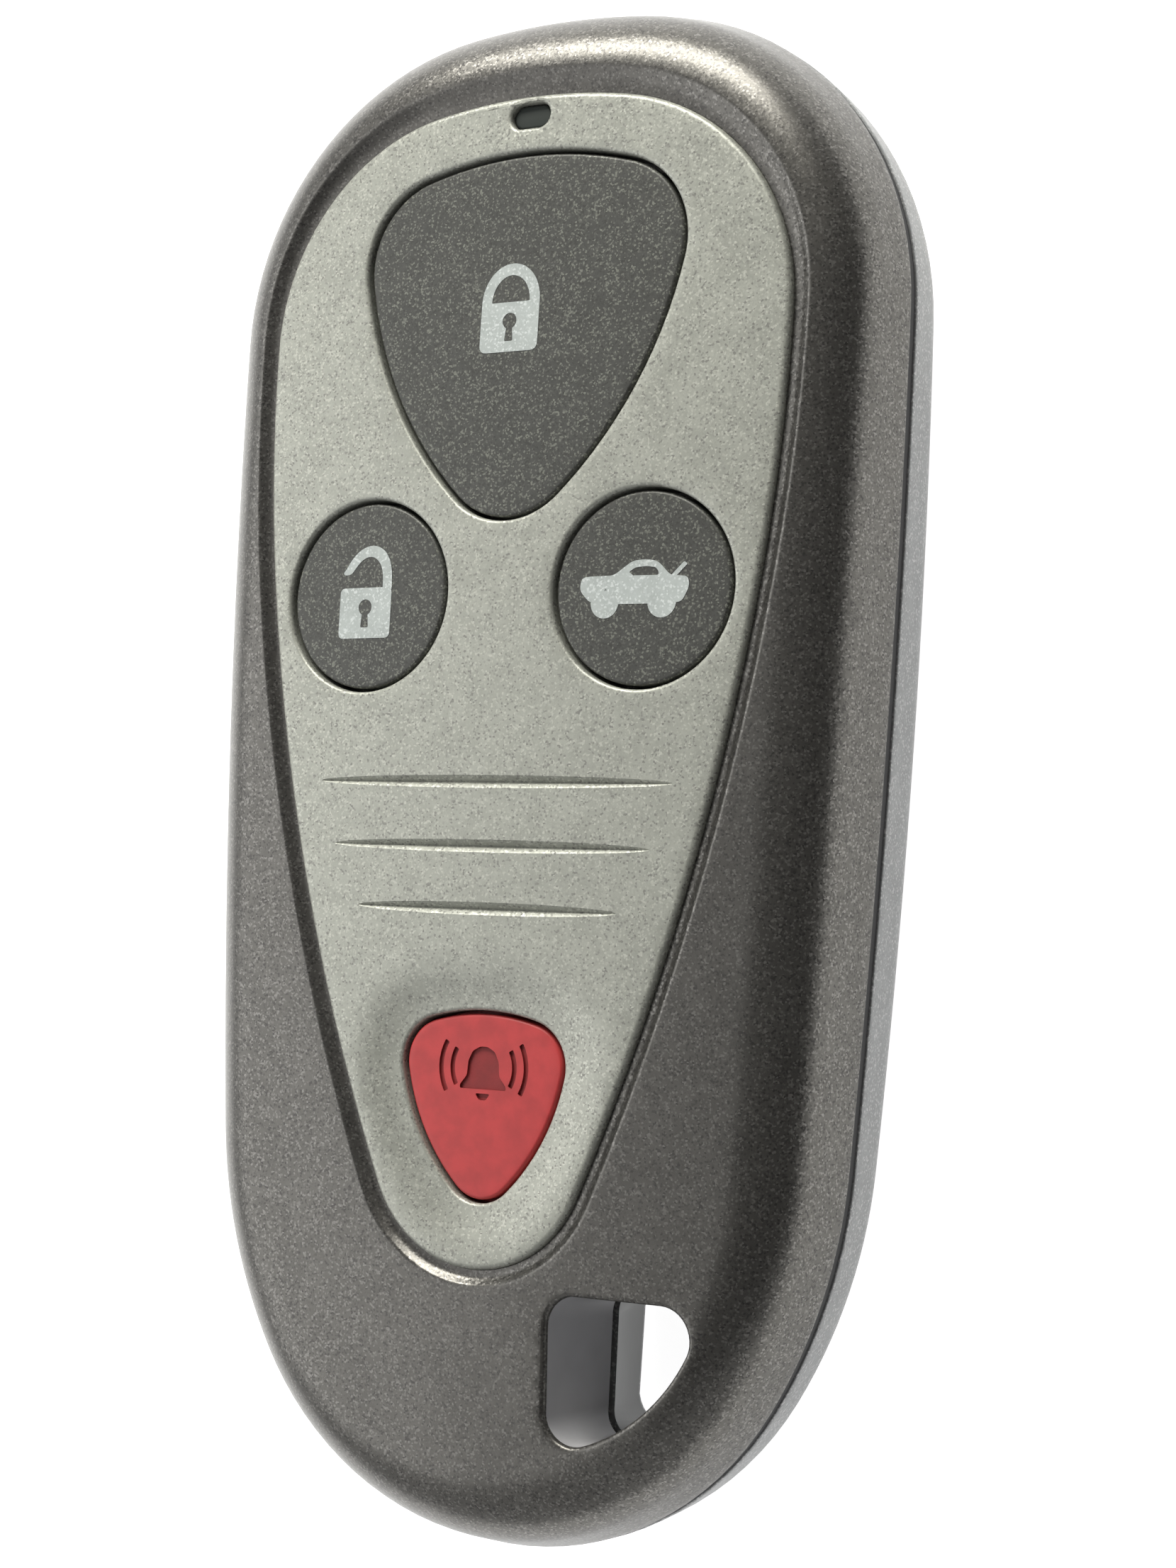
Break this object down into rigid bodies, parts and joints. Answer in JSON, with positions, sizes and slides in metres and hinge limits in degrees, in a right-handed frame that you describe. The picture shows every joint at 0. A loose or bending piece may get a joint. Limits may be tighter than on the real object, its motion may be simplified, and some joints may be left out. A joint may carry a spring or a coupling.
{
  "type": "car keyless entry remote",
  "caption": "Oval two-part car keyless entry remote with a silver face plate, sprung lock, unlock, boot and alarm buttons, a status light and a keyring hole.",
  "frame": {"origin": "under the middle of the case, on the surface that it lies on", "axes": "+X across the face to the right, +Y along the case towards the status light, +Z out of the face"},
  "size_m": [0.0374, 0.0754, 0.0121],
  "materials": {
    "gunmetal_paint": "metallic paint with fine flakes",
    "silver_paint": "satin metallic paint",
    "rear_silver": "satin metallic paint",
    "dark_button": "dark metallic paint",
    "red_button": "matte",
    "black_seal": "matte",
    "smoked_lens": "glossy smoked plastic",
    "grey_rubber": "matte silicone",
    "board_laminate": "solder mask over glass laminate",
    "black_plastic": "moulded",
    "steel": "brushed",
    "spring_steel": "plated strip",
    "screw_steel": "zinc plated",
    "copper": "tinned copper",
    "chip_resin": "moulded resin",
    "ceramic": "ceramic",
    "clear_resin": "clear resin"
  },
  "bodies": {
    "case": {"front_shell": "gunmetal_paint", "face_plate": "silver_paint", "parting_seal": "black_seal", "rear_shell": "rear_silver", "light_lens": "smoked_lens", "rubber_membrane": "grey_rubber", "circuit_board": "board_laminate", "board_tray": "black_plastic", "battery_cell": "steel", "positive_contact": "spring_steel", "negative_contact": "spring_steel", "lock_switch": "chip_resin", "unlock_switch": "chip_resin", "trunk_switch": "chip_resin", "panic_switch": "chip_resin", "light_chip": "clear_resin", "transmitter_chip": "chip_resin", "resonator": "ceramic", "tuning_coil": "ceramic", "capacitor_1": "ceramic", "capacitor_2": "ceramic", "aerial_loop": "copper", "case_screw": "screw_steel"},
    "lock": {"lock_button": "dark_button"},
    "unlock": {"unlock_button": "dark_button"},
    "trunk": {"trunk_button": "dark_button"},
    "panic": {"panic_button": "red_button"}
  },
  "joints": [
    {"name": "lock_press", "type": "slide", "parent": "case", "child": "lock", "axis": [0, 0, -1], "range_m": [0, 0.0006], "stiffness_N_per_m": 4000},
    {"name": "unlock_press", "type": "slide", "parent": "case", "child": "unlock", "axis": [0, 0, -1], "range_m": [0, 0.0006], "stiffness_N_per_m": 4000},
    {"name": "trunk_press", "type": "slide", "parent": "case", "child": "trunk", "axis": [0, 0, -1], "range_m": [0, 0.0006], "stiffness_N_per_m": 4000},
    {"name": "panic_press", "type": "slide", "parent": "case", "child": "panic", "axis": [0, 0, -1], "range_m": [0, 0.0006], "stiffness_N_per_m": 4000}
  ]
}
